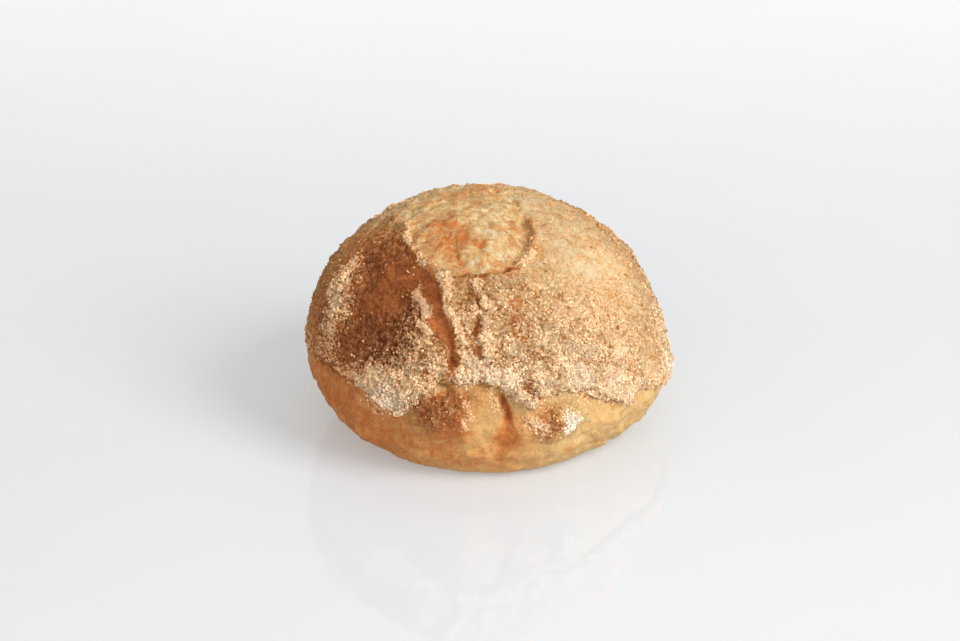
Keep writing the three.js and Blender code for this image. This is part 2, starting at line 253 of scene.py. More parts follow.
# Small humps, and dips where the rise is negative, as [azimuth, height, reach, rise]
HUMPS = [
    [257, 21.5, 5, 1], [290, 17.5, 3.4, 1.3], [297, 17.5, 2, 0.5], [268, 24.5, 4, 0.9], [222, 12, 5, 0.9],
    [238, 14, 3.5, -0.6], [311, 12, 4, 0.6], [325, 9, 3, -0.7], [334, 14, 3, 0.7], [205, 42.5, 4, 0.8],
    [201, 46.5, 3, 0.7], [110, 14, 5, 0.8], [60, 13, 5, 0.8], [20, 10, 4, 0.7], [155, 12, 5, 0.7],
]

# Blisters, as [azimuth, height, radius, rise of the rim], and their rim's half width
BLISTERS = [[282.5, 42, 2.7, 0.7], [281.5, 47.2, 1, 0.7], [120, 38, 1.7, 0.6], [35, 33, 1.5, 0.6]]
BLISTER_RIM = 0.5

# Pores, as [azimuth, height, radius, depth]
PORES = [
    [264.5, 57.4, 0.8, 0.8], [248, 59.3, 0.7, 0.5], [287.5, 53.6, 1, 1.2], [235.1, 9.1, 0.9, 0.9],
    [244.2, 11.3, 0.9, 0.9], [238.1, 6, 0.7, 0.6], [253.5, 6.9, 0.8, 0.6], [318, 18, 0.6, 0.4],
    [296, 12, 0.7, 0.5], [330, 11, 0.7, 0.5], [215, 15, 0.8, 0.6], [150, 9, 0.9, 0.8],
    [80, 10, 0.9, 0.8], [20, 8, 0.8, 0.7], [110, 11, 0.8, 0.7],
]

# Layers of relief over the solid, as [name, size of its noise, detail, rise, vertex group], with lengths in mm
RELIEF = [
    ["crags", 3.2, 3, 1.1, "raised"],
    ["rough_crags", 3.2, 3, 1.3, "rough"],
    ["lumps", 5, 3, 2.3, "bare_flank"],
    ["wrinkles", 2.5, 2, 0.9, "bare_flank"],
    ["mottles", 3.4, 2, 2.1, "torn_patch"],
]
RAG_SIZE = 2.2
EDGE_SHARPNESS = {"crust_edge_rows": 0.6, "patch_edge_rows": 0.3}

# How far drawn places wander, as [size of the noise, distance, seed] for each layer of noise, in mm
MASK_WANDER = [[5, 2.2, 3], [1.8, 1, 7]]
FOLD_WANDER = [[3, 1.2, 17]]
AXIS_SEEDS = (0, 31.4, 62.8)  # added to the seed for each axis

# Smooth unevenness of the masks, as (size of the noise in mm, seed)
BROAD_PATCHES = (4.5, 11)
FINE_PATCHES = (1.9, 13)
CRUMBS = (1.3, 19)
CLUSTERS = (3.5, 23)
TRACE_OF_FLOUR = 0.04
CAP_COARSENESS = 0.35
RIM_BAKE = 0.9

# The crust's noises, as name: (size in mm, detail, roughness, distortion)
CRUST_NOISES = {
    "broad": (13, 2, 0.5, 0),
    "blotches": (3.6, 4, 0.62, 0.6),
    "swirls": (3.6, 4, 0.55, 1.6),
    "speckle": (1.1, 3, 0.65, 0),
    "crumb": (0.75, 4, 0.72, 0.3),
}
STREAK_NOISE = (5, 5, 0.65, 1)
STREAK_STRETCH = (1, 1, 1.5)
TONE_SIZE = 0.9
TONE_SHAKE = (0.8, 0.4)  # the size of its noise and the distance
SPECK_SPACING = 3
SPECK_RADIUS = 0.35
TOASTING_RANGE = (0.35, 1)  # of the bake mask
# Painted shade: this tint darkens the crust in the gaps between the crumbs, where shade falls
CREVICE_SHADE_TINT = (0.68, 0.42, 0.25, 1)  # darkens the gaps between the crumbs
CRUST_BUMP = 0.7
GRAIN_BUMP = 0.08
GRAIN_NOISE = (0.2, 2)

# The kinds of loose grains, in mm and radians: their shapes, then each grain's scale, tilt and lift
GRAINS = {
    "flour_clumps": {
        "mask": "clumped", "shapes": 5, "size": 0.62, "flatness": 0.55, "jitter": 0.3, "faces": 8,
        "scale": (0.4, 1.3), "tilt": 0.4, "lift": 0.03, "shape_seed": 11, "seed": 21,
    },
    "flour_dust": {
        "mask": "flour", "shapes": 3, "size": 0.4, "flatness": 0.5, "jitter": 0.25, "faces": 8,
        "scale": (0.6, 1.3), "tilt": 0.6, "lift": 0.06, "shape_seed": 31, "seed": 41,
    },
    "toasted_crumbs": {
        "mask": "crumbly", "shapes": 4, "size": 0.75, "flatness": 0.5, "jitter": 0.25, "faces": 8,
        "scale": (0.4, 1.2), "tilt": 0.6, "lift": 0.04, "shape_seed": 71, "seed": 81,
    },
    "bran_flakes": {
        "mask": "flour", "shapes": 4, "size": 1.1, "flatness": 0.28, "jitter": 0.3, "faces": 20,
        "scale": (0.5, 1.2), "tilt": 0.35, "lift": 0.05, "shape_seed": 51, "seed": 61,
    },
}

# The stage, as [name, place, size, power] of each light, in m and W
LIGHTS = [
    ["window", (0.85, -0.65, 0.85), 0.7, 17],
    ["ceiling", (0.1, 0.9, 1.2), 1.2, 3],
    ["front", (0, -1.25, 0.6), 1.0, 6.8],
]
FLOOR_SIZE = 8
FLOOR_COLOUR = (0.45, 0.475, 0.51, 1)
# The floor's glow is painted light: it lifts the shade round the roll, and grows towards the back
FLOOR_GLOW_COLOUR = (0.98, 1, 1, 1)
FLOOR_GLOW = 0.25
ROOM_COLOUR = (1, 0.93, 0.84, 1)
ROOM_STRENGTH = 0.5

# The camera looks along +Y at the roll's axis from above, through a long lens, with lengths in m and mm
CAMERA_DISTANCE = 1.2
CAMERA_ELEVATION = 24.83
CAMERA_TILT_UP = 1.185  # degrees above the line to the roll's base
CAMERA_TURN_LEFT = 0.1012
CAMERA_LENS = 168.5
SENSOR_WIDTH = 36.0


def deselect_all():
    if bpy.context.object and bpy.context.object.mode != "OBJECT":
        bpy.ops.object.mode_set(mode="OBJECT")
    bpy.ops.object.select_all(action="DESELECT")


def make_active(obj):
    deselect_all()
    obj.select_set(True)
    bpy.context.view_layer.objects.active = obj


def around(table, azimuths):
    """Reads a table of [azimuth, value] pairs, going straight from each to the next."""
    stops, values = np.array(table, float).T
    return np.interp(np.mod(azimuths, 360), stops, values)


def dome_point(azimuth, height):
    """The point on the smooth dome at an azimuth and a height, in mm from the roll's heart."""
    turn = math.radians(azimuth)
    level = WIDEST_LEVEL - WIDEST_LEVEL_TILT * math.cos(turn)
    if height < level:
        inner = BASE_RADIUS
        share = (1 - (1 - height / level) ** FLANK_EXPONENT) ** (1 / FLANK_EXPONENT)
    else:
        inner = 0
        rise = min((height - level) / (DOME_HEIGHT - level), 1)
        share = (1 - rise**DOME_EXPONENT) ** (1 / DOME_EXPONENT)
    distance = inner + (DOME_RADIUS - inner) * share
    return np.array([distance * math.cos(turn), distance * math.sin(turn), height - HEART_LEVEL])


def on_shell(points):
    """Moves points, in mm from the roll's heart, straight out or in to the measuring ball."""
    return points * (SHELL_RADIUS / np.linalg.norm(points, axis=-1, keepdims=True))


def near_spot(shell, azimuth, height, reach):
    """1 at a place and falling away smoothly over its reach."""
    centre = on_shell(dome_point(azimuth, height))
    return np.exp(-np.sum((shell - centre) ** 2, axis=1) / reach**2)


def distance_to_path(shell, path):
    """The distance from each point to a path of [azimuth, height] places."""
    stations = [on_shell(dome_point(azimuth, height)) for azimuth, height in path]
    nearest = np.full(len(shell), np.inf)
    for start, end in zip(stations, stations[1:]):
        along = end - start
        share = np.clip((shell - start) @ along / (along @ along), 0, 1)
        gap = np.linalg.norm(shell - start - share[:, None] * along, axis=1)
        nearest = np.minimum(nearest, gap)
    return nearest


def near_path(shell, path, half_width):
    """1 along a path and falling away smoothly over its half width."""
    return np.exp(-((distance_to_path(shell, path) / half_width) ** 2))


def near_rims(shell):
    """The blisters' rims, each as high as its blister rises."""
    total = np.zeros(len(shell))
    for azimuth, height, radius, rise in BLISTERS:
        centre = on_shell(dome_point(azimuth, height))
        gap = np.linalg.norm(shell - centre, axis=1) - radius
        total += rise * np.exp(-((gap / BLISTER_RIM) ** 2))
    return total


def blend_spots(shell, spots, lines):
    """The sum of all spots and lines."""
    total = np.zeros(len(shell))
    for azimuth, height, reach, amount in spots:
        total += amount * near_spot(shell, azimuth, height, reach)
    for half_width, amount, path in lines:
        total += amount * near_path(shell, path, half_width)
    return total


def read_points(mesh):
    """The mesh's points, in mm from the roll's heart."""
    flat = np.empty(len(mesh.vertices) * 3)
    mesh.vertices.foreach_get("co", flat)
    heart = np.array([*DOME_AXIS, HEART_LEVEL])
    return flat.reshape(-1, 3) / MM - heart


def write_points(mesh, points):
    heart = np.array([*DOME_AXIS, HEART_LEVEL])
    mesh.vertices.foreach_set("co", ((points + heart) * MM).ravel())
    mesh.update()


def read_normals(mesh):
    flat = np.empty(len(mesh.vertices) * 3, np.float32)
    mesh.vertex_normals.foreach_get("vector", flat)
    return flat.reshape(-1, 3)


def write_mask(mesh, name, values):
    """Stores a value between 0 and 1 on each point, for the materials and the scattering."""
    mask = mesh.attributes.new(name, "FLOAT", "POINT")
    mask.data.foreach_set("value", np.clip(values, 0, 1).astype(np.float32))


def read_mask(mesh, name):
    values = np.empty(len(mesh.vertices), np.float32)
    mesh.attributes[name].data.foreach_get("value", values)
    return values


def read_group(obj, name):
    """The weights of a vertex group, 0 where a point isn't in it."""
    index = obj.vertex_groups[name].index
    weights = np.zeros(len(obj.data.vertices))
    for vertex in obj.data.vertices:
        for member in vertex.groups:
            if member.group == index:
                weights[vertex.index] = member.weight
    return weights


def write_group(obj, name, weights):
    group = obj.vertex_groups.new(name=name)
    for index in np.flatnonzero(weights > 0.01):
        group.add([int(index)], float(min(weights[index], 1)), "REPLACE")


def copy_solid():
    """A copy of the CAD node, its triangles merged and joined into quads."""
    make_active(frame["nodes"][NODE])
    bpy.ops.object.duplicate()
    roll = bpy.context.object
    roll.name = "roll_crust"
    roll.data.name = "roll_crust"
    bpy.ops.object.mode_set(mode="EDIT")
    bpy.ops.mesh.select_all(action="SELECT")
    bpy.ops.mesh.remove_doubles(threshold=0.001 * MM)
    bpy.ops.mesh.tris_convert_to_quads(face_threshold=math.pi, shape_threshold=math.pi)
    bpy.ops.object.mode_set(mode="OBJECT")
    return roll


def group_rows(roll):
    """Names the mesh's rows, by growing a selection from the middle of the base."""
    bands = [
        ("base_rows", BASE_ROW), ("flank_rows", FLANK_ROW), ("crust_edge_rows", CRUST_EDGE_ROW),
        ("cap_rows", CAP_ROW), ("patch_edge_rows", PATCH_EDGE_ROW), ("patch_rows", None),
    ]
    points = read_points(roll.data)
    middle = np.argmin(np.linalg.norm(points - [0, 0, -HEART_LEVEL], axis=1))
    reached = {int(middle)}
    links = [[] for _ in roll.data.vertices]
    for edge in roll.data.edges:
        start, end = edge.vertices
        links[start].append(end)
        links[end].append(start)
    front = set(reached)
    row = 0
    for name, last in bands:
        members = set(front) if name == "base_rows" else set()
        while front and (last is None or row < last):
            front = {other for index in front for other in links[index]} - reached
            reached |= front
            members |= front
            row += 1
        roll.vertex_groups.new(name=name).add(sorted(members), 1.0, "REPLACE")


def crease_edges(roll):
    """Keeps the crust's edges crisp when the mesh is subdivided."""
    mesh = roll.data
    crease = mesh.attributes.new("crease_edge", "FLOAT", "EDGE")
    sharpnesses = {roll.vertex_groups[name].index: value for name, value in EDGE_SHARPNESS.items()}
    member = [{g.group for g in v.groups} for v in mesh.vertices]
    for edge in mesh.edges:
        start, end = edge.vertices
        for group, sharpness in sharpnesses.items():
            if group in member[start] and group in member[end]:
                crease.data[edge.index].value = sharpness


def add_texture(name, size, detail, cloud_type="GRAYSCALE"):
    """A cloudy texture for displacing, with its size in mm."""
    texture = bpy.data.textures.new(name, "CLOUDS")
    texture.noise_scale = size * MM
    texture.noise_depth = detail
    texture.cloud_type = cloud_type
    return texture


def displace(obj, name, texture, rise, group, direction="NORMAL"):
    """Moves the surface by a texture, where a vertex group says, and applies it."""
    modifier = obj.modifiers.new(name, "DISPLACE")
    modifier.texture = texture
    modifier.texture_coords = "LOCAL"
    modifier.direction = direction
    modifier.strength = rise * MM
    modifier.mid_level = 0.5
    modifier.vertex_group = group
    bpy.ops.object.modifier_apply(modifier=name)


def unevenness(points, size, seed):
    """Smooth noise around 0, mostly between -0.5 and 0.5."""
    return np.array([noise.noise(Vector(point / size + seed)) for point in points])


def wander(points, layers):
    """Moves points about by layers of smooth noise, so that what is drawn from them has natural edges."""
    for size, distance, seed in layers:
        shift = [unevenness(points, size, seed + apart) for apart in AXIS_SEEDS]
        points = points + distance * np.stack(shift, axis=1)
    return points


def rising(values, start, end):
    """From 0 at the start to 1 at the end, going straight."""
    return np.clip((values - start) / (end - start), 0, 1)


class Places:
    """Where each of the roll's points lies, which band it belongs to and how patchy its coating is."""

    def __init__(self, roll):
        self.points = read_points(roll.data)
        self.height = self.points[:, 2] + HEART_LEVEL
        self.azimuth = np.degrees(np.arctan2(self.points[:, 1], self.points[:, 0]))
        self.shell = on_shell(wander(self.points, MASK_WANDER))
        self.rims = near_rims(on_shell(wander(self.points, FOLD_WANDER)))
        self.flank = read_group(roll, "flank_rows") + read_group(roll, "base_rows")
        self.patch = read_group(roll, "patch_rows")
        broad = unevenness(self.points, *BROAD_PATCHES)
        self.patchy = 1 + 1.1 * broad + 0.6 * unevenness(self.points, *FINE_PATCHES)


def edge_flour(at):
    """The flour along the crust's lower edge, thickest a little above it."""
    above = np.maximum(at.height - around(TEAR, at.azimuth), 0)
    amount = around([[azimuth, amount] for azimuth, amount, reach in EDGE_FLOUR], at.azimuth)
    reach = around([[azimuth, reach] for azimuth, amount, reach in EDGE_FLOUR], at.azimuth)
    return (1 - at.flank) * amount * np.exp(-((above / reach) ** 2)) * np.clip(0.5 + above / 1.5, 0, 1)


def flour_cover(at):
    """How thickly the flour lies. There is little on the patch, and none at the foot and on the rims."""
    flour = (edge_flour(at) + blend_spots(at.shell, FLOUR_SPOTS, FLOUR_LINES)) * np.clip(at.patchy, 0.1, 1.6)
    flour = (flour + TRACE_OF_FLOUR * (1 - at.flank)) * (1 - 0.8 * at.patch)
    return flour * rising(at.height, 2, 6) - at.rims


def browning_and_shade(at):
    """How much browner, or paler, each point is than the crust round it: mostly the oven's browning, with
    painted shadow under the lips and painted shade in the grooves and the crack.
    """
    patch_brown = blend_spots(at.shell, PATCH_BROWN_SPOTS, []) * at.patch
    return blend_spots(at.shell, BAKE_AND_SHADE_SPOTS, BAKE_AND_SHADE_LINES) + patch_brown + RIM_BAKE * at.rims


def coarseness(at):
    """How coarse the crust is, smoother on the flank, the patch and the rims."""
    coarse = blend_spots(at.shell, COARSE_SPOTS, COARSE_LINES) + CAP_COARSENESS * (1 - at.flank) - at.rims
    coarse = np.clip(coarse * (1 - 0.6 * at.flank), 0, 1) * np.clip(0.7 + 0.5 * at.patchy, 0, 1)
    coarse *= (1 - 0.85 * at.patch) * rising(at.height, 0, 4)
    return coarse


def mark_surface(roll):
    """Stores how baked, floured and coarse each point is, as masks and as vertex groups."""
    at = Places(roll)
    flour = flour_cover(at)
    coarse = coarseness(at)
    lump = np.clip(2.4 * np.abs(unevenness(at.points, *CRUMBS)), 0, 1)
    on_lumps = np.clip(1.8 * lump, 0, 1)
    clustered = np.clip(0.7 + 1.5 * unevenness(at.points, *CLUSTERS), 0, 1)
    masks = {
        "flour": flour,
        # this mask also carries painted shade in the grooves and the crack, and painted shadow under the lips
        "bake": browning_and_shade(at),
        "coarse": np.maximum(coarse, 0.8 * np.clip(flour, 0, 1)),
        "white": blend_spots(at.shell, WHITE_SPOTS, []),
        "flank": at.flank,
        "patch": at.patch,
        "lump": lump,
        "clumped": np.clip(flour, 0, 1) ** 1.3 * clustered * on_lumps,
        "crumbly": np.clip(coarse, 0, 1) ** 1.5 * (0.3 + 0.7 * on_lumps),
    }
    for name, values in masks.items():
        write_mask(roll.data, name, values)
    groups = {
        "rough": np.maximum(coarse, flour),
        "lips": read_group(roll, "crust_edge_rows") + 0.5 * read_group(roll, "patch_edge_rows"),
        "raised": rising(at.height, 0, 3),
        "bare_flank": at.flank * rising(at.height, 0, 4),
        "torn_patch": at.patch,
    }
    for name, weights in groups.items():
        write_group(roll, name, weights)


def press_features(roll, crumble):
    """Moves the surface along its normals for the crumbs, folds, blisters, humps and pores.

    Any point that the relief has pushed below the floor is lifted back to it.
    """
    mesh = roll.data
    points = read_points(mesh)
    shell = on_shell(wander(points, FOLD_WANDER))
    rise = crumble * (read_mask(mesh, "lump") - 0.5) * read_group(roll, "rough")
    for half_width, amount, path in FINE_FOLDS:
        rise += amount * near_path(shell, path, half_width)
    rise += near_rims(shell)
    for azimuth, height, reach, amount in HUMPS:
        rise += amount * near_spot(shell, azimuth, height, reach)
    for azimuth, height, radius, depth in PORES:
        rise -= depth * near_spot(shell, azimuth, height, radius)
    points += read_normals(mesh) * rise[:, None]
    points[:, 2] = np.maximum(points[:, 2], -HEART_LEVEL)
    write_points(mesh, points)


class Nodes:
    """Adds nodes to a tree, and links or sets their inputs by name."""

    def __init__(self, tree):
        self.tree = tree
        tree.nodes.clear()

    def add(self, kind, inputs=None, **settings):
        node = self.tree.nodes.new(kind)
        for key, value in settings.items():
            setattr(node, key, value)
        for key, value in (inputs or {}).items():
            self.put(node.inputs[key], value)
        return node

    def put(self, socket, value):
        if isinstance(value, bpy.types.NodeSocket):
            self.tree.links.new(value, socket)
        else:
            socket.default_value = value

    def noise(self, coords, size, detail=2.0, roughness=0.5, distortion=0.0):
        """Noise between 0 and 1, with its size in mm."""
        inputs = {
            "Vector": coords, "Scale": 1 / (size * MM), "Detail": detail,
            "Roughness": roughness, "Distortion": distortion,
        }
        return self.add("ShaderNodeTexNoise", inputs).outputs["Fac"]

    def tones(self, coords, size):
        """A random value between 0 and 1 for each of many packed cells, with their size in mm."""
        inputs = {"Vector": coords, "Scale": 1 / (size * MM)}
        colour = self.add("ShaderNodeTexVoronoi", inputs).outputs["Color"]
        return self.add("ShaderNodeSeparateColor", {"Color": colour}).outputs["Red"]

    def dots(self, coords, spacing, radius):
        """1 inside scattered dots and 0 outside, both in mm."""
        inputs = {"Vector": coords, "Scale": 1 / (spacing * MM)}
        gap = self.add("ShaderNodeTexVoronoi", inputs).outputs["Distance"]
        return self.ease(gap, radius / spacing, 0.5 * radius / spacing)

    def stretched(self, coords, factors):
        node = self.add("ShaderNodeVectorMath", operation="MULTIPLY")
        self.put(node.inputs[0], coords)
        node.inputs[1].default_value = factors
        return node.outputs[0]

    def shaken(self, coords, size, distance):
        """Coordinates moved about by noise, both in mm."""
        inputs = {"Vector": coords, "Scale": 1 / (size * MM), "Detail": 1.0}
        colour = self.add("ShaderNodeTexNoise", inputs).outputs["Color"]
        middle = self.add("ShaderNodeVectorMath", operation="SUBTRACT")
        self.put(middle.inputs[0], colour)
        middle.inputs[1].default_value = (0.5, 0.5, 0.5)
        moved = self.add("ShaderNodeVectorMath", operation="MULTIPLY_ADD")
        self.put(moved.inputs[0], middle.outputs[0])
        moved.inputs[1].default_value = (2 * distance * MM,) * 3
        self.put(moved.inputs[2], coords)
        return moved.outputs[0]

    def weigh(self, terms, offset=0.0, clamp=False):
        """The sum of values, each with its own weight, and an offset."""
        total = offset
        for value, weight in terms:
            node = self.add("ShaderNodeMath", operation="MULTIPLY_ADD")
            self.put(node.inputs[0], value)
            node.inputs[1].default_value = weight
            self.put(node.inputs[2], total)
            total = node.outputs[0]
        total.node.use_clamp = clamp
        return total

    def mask(self, name):
        return self.add("ShaderNodeAttribute", attribute_name=name).outputs["Fac"]

    def times(self, first, second):
        node = self.add("ShaderNodeMath", operation="MULTIPLY")
        self.put(node.inputs[0], first)
        self.put(node.inputs[1], second)
        return node.outputs[0]

    def ease(self, value, low, high):
        """Smoothly from 0 at the low value to 1 at the high one."""
        inputs = {"Value": value, "From Min": low, "From Max": high}
        return self.add("ShaderNodeMapRange", inputs, interpolation_type="SMOOTHSTEP").outputs["Result"]

    def mix(self, factor, first, second, blend="MIX"):
        node = self.add("ShaderNodeMix", data_type="RGBA", blend_type=blend)
        self.put(node.inputs[0], factor)
        self.put(node.inputs[6], first)
        self.put(node.inputs[7], second)
        return node.outputs[2]

    def ramp(self, value, stops):
        """A colour that runs through stops of (position, colour)."""
        node = self.add("ShaderNodeValToRGB", {"Fac": value})
        elements = node.color_ramp.elements
        while len(elements) < len(stops):
            elements.new(1.0)
        for element, (position, colour) in zip(elements, stops):
            element.position = position
            element.color = (*colour, 1.0)
        return node.outputs["Color"]


def new_material(name):
    material = bpy.data.materials.new(name)
    material.use_nodes = True
    return material, Nodes(material.node_tree)


def opaque(colour):
    return (*colour, 1.0)


def finish_surface(nodes, colour, roughness, height, bump_distance, bump_strength=1.0):
    """The shader that ends a material, with its bump distance in mm."""
    bump = nodes.add(
        "ShaderNodeBump", {"Height": height, "Distance": bump_distance * MM, "Strength": bump_strength}
    )
    inputs = {"Base Color": colour, "Roughness": roughness, "Normal": bump.outputs["Normal"]}
    shader = nodes.add("ShaderNodeBsdfPrincipled", inputs)
    output = nodes.add("ShaderNodeOutputMaterial")
    nodes.tree.links.new(shader.outputs["BSDF"], output.inputs["Surface"])
    return shader


def crust_patterns(nodes, loose):
    """The masks and noises that the crust's finish is made from, each between 0 and 1."""
    coords = nodes.add("ShaderNodeTexCoord").outputs["Object"]
    masks = ("flour", "bake", "coarse", "flank", "patch", "lump", "white")
    at = SimpleNamespace(coords=coords, **{name: nodes.mask(name) for name in masks})
    for name, values in CRUST_NOISES.items():
        setattr(at, name, nodes.noise(coords, *values))
    at.streaks = nodes.noise(nodes.stretched(coords, STREAK_STRETCH), *STREAK_NOISE)
    if loose:
        at.tone = nodes.mask("tone")
    else:
        at.tone = nodes.tones(nodes.shaken(coords, *TONE_SHAKE), TONE_SIZE)
    at.proud = nodes.weigh([(at.crumb, 0.85), (at.lump, 0.12), (at.tone, 0.12)], -0.06)
    return at


def baked_colour(nodes, at, colours):
    """The bare crust: the cap's colours, with the flank's and the patch's where these lie."""
    tan = tuple(colours.tan_crust)
    brown = tuple(colours.brown_crust)
    well_baked = [(0.62, brown), (1.0, tuple(colours.dark_crust))]

    cap_terms = [(at.bake, 0.75), (at.coarse, 0.16), (at.broad, 0.25), (at.blotches, 0.8), (at.speckle, 0.5)]
    cap_bake = nodes.weigh(cap_terms, -0.68, True)
    cap_colour = nodes.ramp(cap_bake, [(0.0, tuple(colours.golden_crust)), (0.3, tan), *well_baked])

    veins = nodes.weigh([(at.streaks, 1.0)], -0.5)
    marbling = nodes.times(veins, nodes.weigh([(at.bake, 1.8)], 0.7))
    flank_terms = [
        (at.bake, 0.6), (at.broad, 0.25), (at.blotches, 0.25), (marbling, 0.35), (at.speckle, 0.45),
    ]
    flank_bake = nodes.weigh(flank_terms, -0.27, True)
    paling = [(0.0, tuple(colours.pale_flank)), (0.2, tuple(colours.yellow_flank))]
    flank_colour = nodes.ramp(flank_bake, [*paling, (0.42, tan), *well_baked])

    patch_bake = nodes.weigh([(at.bake, 0.45), (at.swirls, 1.9), (at.speckle, 1.1)], -1.2, True)
    paling = [(0.0, tuple(colours.pale_patch)), (0.28, tuple(colours.yellow_patch))]
    patch_colour = nodes.ramp(patch_bake, [*paling, (0.85, brown)])

    colour = nodes.mix(at.flank, cap_colour, flank_colour)
    return nodes.mix(at.patch, colour, patch_colour)


def add_crumbs(nodes, at, colour, crumb_colour):
    """Lightens the crumbs that stand proud of the crust."""
    crumbled = nodes.weigh([(at.coarse, 0.75), (at.bake, -0.35)], 0.1, True)
    raised = nodes.times(nodes.ease(at.proud, 0.44, 0.6), crumbled)
    return nodes.mix(raised, colour, crumb_colour)


def add_crevice_shade(nodes, at, colour, speck_colour):
    """Darkens the gaps between the crumbs with painted shade, and adds dark specks."""
    # painted shade in the hollows of the crumb pattern
    gap_shade = nodes.times(nodes.ease(at.proud, 0.48, 0.36), nodes.weigh([(at.coarse, 0.85)], 0.15))
    colour = nodes.mix(gap_shade, colour, nodes.mix(1.0, colour, CREVICE_SHADE_TINT, "MULTIPLY"))
    dots = nodes.dots(at.coords, SPECK_SPACING, SPECK_RADIUS)
    specks = nodes.times(dots, nodes.weigh([(at.flank, 0.5)], 0.15))
    return nodes.mix(specks, colour, speck_colour)


def add_powder(nodes, at, colour, film_colour, colours):
    """Adds powdery flour: a toasted film where it's thin, then pale, and white where the white mask says."""
    floured = nodes.ease(at.flour, 0.0, 0.3)
    covered = nodes.weigh([(at.flour, 1.15), (at.proud, 5.0), (at.blotches, 0.6)], -2.7)
    thin = nodes.times(nodes.ease(covered, 0.3, 0.65), nodes.weigh([(floured, 0.75)], 0.05))
    colour = nodes.mix(thin, colour, film_colour)
    thick = nodes.times(nodes.ease(covered, 0.72, 1.15), nodes.weigh([(floured, 0.9)]))
    colour = nodes.mix(thick, colour, opaque(colours.flour_colour))
    return nodes.mix(nodes.times(at.white, thick), colour, opaque(colours.white_flour))


def crust_material(colours, name, loose):
    """Baked crust, from golden to dark brown, with powdery flour where the flour mask says.

    Loose crumbs carry the surface's masks, so they take its colours at their place, each with its own tone.
    """
    material, nodes = new_material(name)
    at = crust_patterns(nodes, loose)
    toasting = nodes.times(nodes.ease(at.bake, *TOASTING_RANGE), 0.6)
    peach = nodes.mix(toasting, opaque(colours.toasted_flour), opaque(colours.scorched_flour))
    colour = add_crumbs(nodes, at, baked_colour(nodes, at, colours), peach)
    if not loose:
        colour = add_crevice_shade(nodes, at, colour, opaque(colours.dark_crust))
    colour = add_powder(nodes, at, colour, peach, colours)
    roughness = nodes.add("ShaderNodeMapRange", {"Value": at.coarse, "To Min": 0.5, "To Max": 0.9})
    crumbly = nodes.times(at.crumb, nodes.weigh([(at.coarse, 3.0), (at.patch, 0.2)], 0.6))
    height = nodes.weigh([(crumbly, 1.0), (at.streaks, 0.6)])
    shader = finish_surface(nodes, colour, roughness.outputs["Result"], height, CRUST_BUMP)
    shader.inputs["Specular IOR Level"].default_value = 0.12
    shader.inputs["Subsurface Weight"].default_value = 0.15
    shader.inputs["Subsurface Radius"].default_value = (1.0, 0.8, 0.6)
    shader.inputs["Subsurface Scale"].default_value = 0.5 * MM
    return material


def grain_material(name, light, shade, white, scorched):
    """Dull grains, each of its own tone, whiter or more scorched where the surface's masks say."""
    material, nodes = new_material(name)
    coords = nodes.add("ShaderNodeTexCoord").outputs["Object"]
    colour = nodes.ramp(nodes.mask("tone"), [(0.0, tuple(shade)), (1.0, tuple(light))])
    texture = nodes.noise(coords, *GRAIN_NOISE)
    colour = nodes.mix(nodes.times(texture, 0.3), colour, opaque(shade))
    colour = nodes.mix(nodes.mask("white"), colour, opaque(white))
    toasting = nodes.times(nodes.ease(nodes.mask("bake"), *TOASTING_RANGE), 0.7)
    colour = nodes.mix(toasting, colour, opaque(scorched))
    shader = finish_surface(nodes, colour, 0.9, texture, GRAIN_BUMP, 0.5)
    shader.inputs["Specular IOR Level"].default_value = 0.1
    return material


def stage_material():
    """A pale polished surface that glows a little, more so towards the back: painted light that lifts the
    floor's shade round the roll and brightens it towards the back.
    """
    material, nodes = new_material("pale_surface")
    coords = nodes.add("ShaderNodeTexCoord").outputs["Object"]
    depth = nodes.add("ShaderNodeSeparateXYZ", {"Vector": coords}).outputs["Y"]
    far = nodes.ease(depth, 0.05, 0.4)
    veins = nodes.noise(coords, 160, 3, 0.5, 0.6)
    glow = nodes.weigh([(far, 0.2), (veins, 0.06)], FLOOR_GLOW)
    inputs = {
        "Base Color": FLOOR_COLOUR, "Roughness": 0.03, "Specular IOR Level": 0.5,
        "Emission Color": FLOOR_GLOW_COLOUR, "Emission Strength": glow,
    }
    shader = nodes.add("ShaderNodeBsdfPrincipled", inputs)
    output = nodes.add("ShaderNodeOutputMaterial")
    nodes.tree.links.new(shader.outputs["BSDF"], output.inputs["Surface"])
    return material


def make_shapes(name, material):
    """A collection of small irregular lumps, one for each shape of a kind of grain, from jittered balls."""
    kind = GRAINS[name]
    collection = bpy.data.collections.new(name)
    bpy.context.scene.collection.children.link(collection)
    for index in range(kind["shapes"]):
        deselect_all()
        if kind["faces"] == 8:
            bpy.ops.mesh.primitive_uv_sphere_add(segments=4, ring_count=2, radius=kind["size"] / 2 * MM)
        else:
            bpy.ops.mesh.primitive_ico_sphere_add(subdivisions=1, radius=kind["size"] / 2 * MM)
        shape = bpy.context.object
        shape.name = f"{name}_shape_{index}"
        bpy.ops.object.mode_set(mode="EDIT")
        bpy.ops.mesh.select_all(action="SELECT")
        offset = kind["size"] * kind["jitter"] * MM
        bpy.ops.transform.vertex_random(offset=offset, uniform=0.6, seed=kind["shape_seed"] + index)
        width = 0.75 + 0.2 * index / kind["shapes"]
        bpy.ops.transform.resize(value=(1.0, width, kind["flatness"]))
        bpy.ops.object.mode_set(mode="OBJECT")
        shape.data.materials.append(material)
        for other in list(shape.users_collection):
            other.objects.unlink(shape)
        collection.objects.link(shape)
    return collection


def remove_shapes(collection):
    for shape in list(collection.objects):
        mesh = shape.data
        bpy.data.objects.remove(shape)
        bpy.data.meshes.remove(mesh)
    bpy.data.collections.remove(collection)


